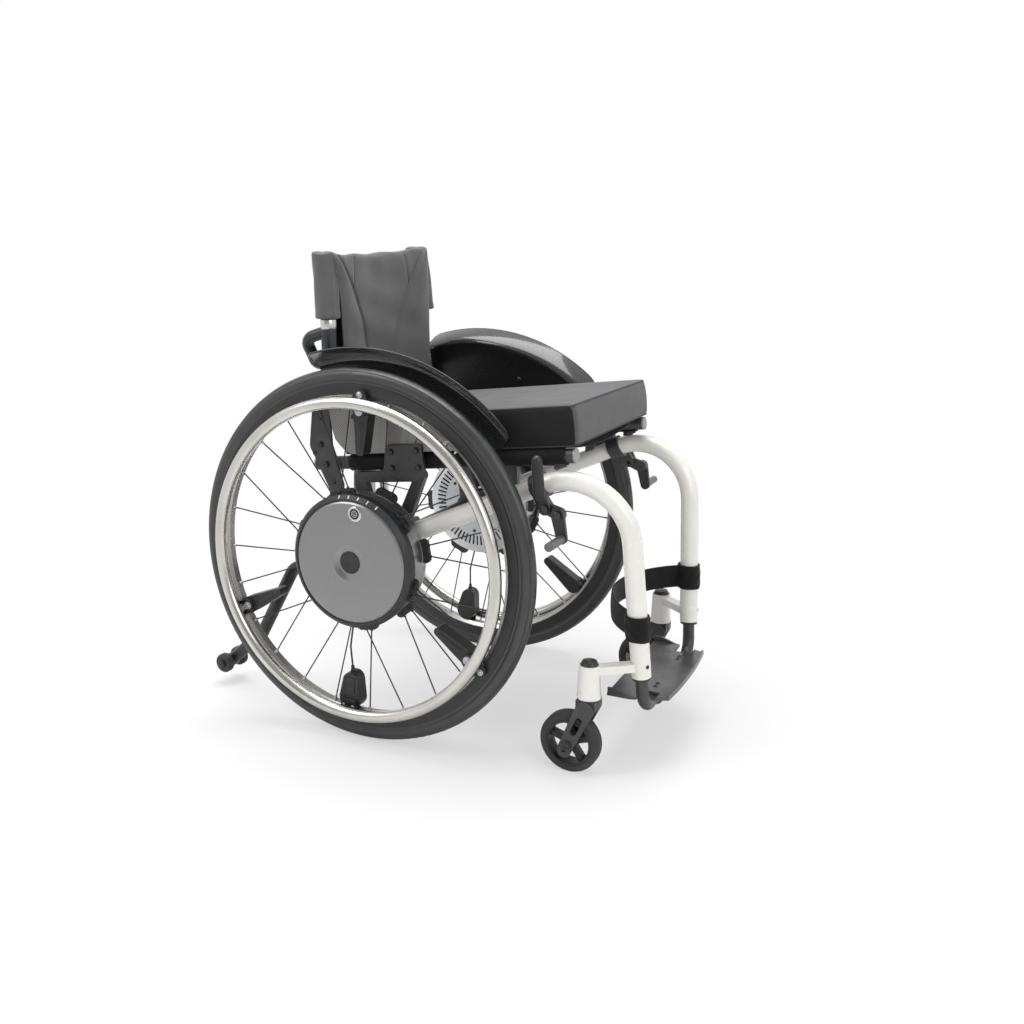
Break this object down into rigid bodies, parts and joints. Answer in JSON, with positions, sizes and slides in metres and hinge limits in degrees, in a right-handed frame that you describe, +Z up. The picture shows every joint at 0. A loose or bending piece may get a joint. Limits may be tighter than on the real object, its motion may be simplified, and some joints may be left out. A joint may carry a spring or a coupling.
{
  "type": "wheelchair with hub-motor power assist wheels",
  "caption": "Rigid active wheelchair with spoked power assist wheels, sprung push rims, swivel casters, wheel brakes, an anti-tipper, folding back and flip-up footplate.",
  "frame": {"origin": "middle of the bounding box on the floor", "axes": "+X forward, +Y to the sitter's left, +Z up"},
  "size_m": [0.826, 0.531, 0.771],
  "materials": {
    "white_paint": "gloss lacquer",
    "black_metal": "satin black coating",
    "carbon": "woven carbon laminate under clear coat",
    "webbing": "woven nylon",
    "cushion_cover": "matt knitted cover",
    "back_cover": "matt woven cover",
    "back_tube": "dark anodised",
    "steel": "bright zinc",
    "grey_plastic": "matt",
    "tyre": "matt rubber",
    "rim_alloy": "satin",
    "spoke_steel": "black",
    "hub_black": "satin black",
    "light_alloy": "cast, bead blasted",
    "battery": "matt",
    "cover_grey": "satin grey metallic",
    "socket_metal": "polished",
    "black_plastic": "fine grain",
    "push_rim_metal": "polished",
    "caster_rubber": "matt",
    "anti_tip_tube": "satin black",
    "roller_rubber": "matt",
    "shoe_metal": "knurled",
    "plate_grey": "satin"
  },
  "bodies": {
    "frame": {"side_tube_right": "white_paint", "side_tube_left": "white_paint", "seat_rails": "black_metal", "rail_brackets": "black_metal", "axle_plates": "black_metal", "axle_tube": "black_metal", "back_brackets": "black_metal", "side_guard_right": "carbon", "side_guard_left": "carbon", "seat_sling": "webbing", "seat_cushion": "cushion_cover", "caster_housings": "white_paint", "brake_mounts": "black_metal", "frame_bolts": "steel", "calf_strap": "webbing", "axle_sets": "steel", "foot_tube": "black_metal", "end_caps": "grey_plastic", "anti_tip_socket": "black_metal"},
    "anti_tip": {"anti_tip_arm": "anti_tip_tube"},
    "anti_tip_wheels": {"anti_tip_rollers": "roller_rubber"},
    "backrest": {"back_frame": "back_tube", "back_upholstery": "back_cover"},
    "drive_wheel_right": {"tyre_right": "tyre", "rim_right": "rim_alloy", "spokes_right": "spoke_steel", "hub_shell_right": "hub_black", "hub_back_right": "light_alloy", "battery_pack_right": "battery", "battery_cover_right": "cover_grey", "charge_socket_right": "socket_metal", "rim_mounts_right": "black_plastic", "rim_sensor_right": "black_plastic"},
    "hand_rim_right": {"push_rim_right": "push_rim_metal"},
    "release_right": {"release_button_right": "black_plastic"},
    "caster_right": {"caster_fork_right": "black_metal"},
    "caster_wheel_right": {"caster_tyre_right": "caster_rubber", "caster_hub_right": "black_plastic"},
    "brake_right": {"brake_lever_right": "black_plastic"},
    "brake_bar_right": {"brake_shoe_right": "shoe_metal"},
    "drive_wheel_left": {"tyre_left": "tyre", "rim_left": "rim_alloy", "spokes_left": "spoke_steel", "hub_shell_left": "hub_black", "hub_back_left": "light_alloy", "battery_pack_left": "battery", "battery_cover_left": "cover_grey", "charge_socket_left": "socket_metal", "rim_mounts_left": "black_plastic", "rim_sensor_left": "black_plastic"},
    "hand_rim_left": {"push_rim_left": "push_rim_metal"},
    "release_left": {"release_button_left": "black_plastic"},
    "caster_left": {"caster_fork_left": "black_metal"},
    "caster_wheel_left": {"caster_tyre_left": "caster_rubber", "caster_hub_left": "black_plastic"},
    "brake_left": {"brake_lever_left": "black_plastic"},
    "brake_bar_left": {"brake_shoe_left": "shoe_metal"},
    "foot_rest": {"footplate": "plate_grey"}
  },
  "joints": [
    {"name": "wheel_spin_right", "type": "hinge", "parent": "frame", "child": "drive_wheel_right", "pos_m": [-0.058, -0.223, 0.298], "axis": [0, 1, 0], "continuous": true},
    {"name": "push_rim_twist_right", "type": "hinge", "parent": "drive_wheel_right", "child": "hand_rim_right", "pos_m": [-0.058, -0.256, 0.298], "axis": [0, 1, 0], "range_deg": [-1.5, 1.5], "stiffness_Nm_per_rad": 60},
    {"name": "release_press_right", "type": "slide", "parent": "drive_wheel_right", "child": "release_right", "axis": [0, 1, 0], "range_m": [0, 0.004], "stiffness_N_per_m": 600},
    {"name": "caster_swivel_right", "type": "hinge", "parent": "frame", "child": "caster_right", "pos_m": [0.309, -0.183, 0.121], "axis": [0, 0, 1], "continuous": true},
    {"name": "caster_spin_right", "type": "hinge", "parent": "caster_right", "child": "caster_wheel_right", "pos_m": [0.282, -0.183, 0.047], "axis": [0, 1, 0], "continuous": true},
    {"name": "brake_lever_right", "type": "hinge", "parent": "frame", "child": "brake_right", "pos_m": [0.242, -0.19, 0.403], "axis": [0, 1, 0], "range_deg": [0, 55]},
    {"name": "brake_bar_right", "type": "hinge", "parent": "frame", "child": "brake_bar_right", "pos_m": [0.262, -0.19, 0.396], "axis": [0, 1, 0], "range_deg": [0, 54]},
    {"name": "wheel_spin_left", "type": "hinge", "parent": "frame", "child": "drive_wheel_left", "pos_m": [-0.058, 0.223, 0.298], "axis": [0, 1, 0], "continuous": true},
    {"name": "push_rim_twist_left", "type": "hinge", "parent": "drive_wheel_left", "child": "hand_rim_left", "pos_m": [-0.058, 0.256, 0.298], "axis": [0, 1, 0], "range_deg": [-1.5, 1.5], "stiffness_Nm_per_rad": 60},
    {"name": "release_press_left", "type": "slide", "parent": "drive_wheel_left", "child": "release_left", "axis": [0, -1, 0], "range_m": [0, 0.004], "stiffness_N_per_m": 600},
    {"name": "caster_swivel_left", "type": "hinge", "parent": "frame", "child": "caster_left", "pos_m": [0.309, 0.183, 0.121], "axis": [0, 0, 1], "continuous": true},
    {"name": "caster_spin_left", "type": "hinge", "parent": "caster_left", "child": "caster_wheel_left", "pos_m": [0.282, 0.183, 0.047], "axis": [0, 1, 0], "continuous": true},
    {"name": "brake_lever_left", "type": "hinge", "parent": "frame", "child": "brake_left", "pos_m": [0.242, 0.19, 0.403], "axis": [0, 1, 0], "range_deg": [0, 55]},
    {"name": "brake_bar_left", "type": "hinge", "parent": "frame", "child": "brake_bar_left", "pos_m": [0.262, 0.19, 0.396], "axis": [0, 1, 0], "range_deg": [0, 54]},
    {"name": "anti_tip_swing", "type": "hinge", "parent": "frame", "child": "anti_tip", "pos_m": [-0.058, -0.1348, 0.298], "axis": [0.9439, 0, 0.3304], "range_deg": [0, 180]},
    {"name": "anti_tip_roll", "type": "hinge", "parent": "anti_tip", "child": "anti_tip_wheels", "pos_m": [-0.396, -0.1348, 0.039], "axis": [0, 1, 0], "continuous": true},
    {"name": "back_fold", "type": "hinge", "parent": "frame", "child": "backrest", "pos_m": [-0.157, 0, 0.545], "axis": [0, 1, 0], "range_deg": [0, 80]},
    {"name": "footplate_flip", "type": "hinge", "parent": "frame", "child": "foot_rest", "pos_m": [0.37622, 0, 0.092], "axis": [0, -1, 0], "range_deg": [0, 90]}
  ],
  "couplings": [
    {"joint": "brake_bar_right", "follows": "brake_lever_right", "ratio": 0.98},
    {"joint": "brake_bar_left", "follows": "brake_lever_left", "ratio": 0.98}
  ]
}
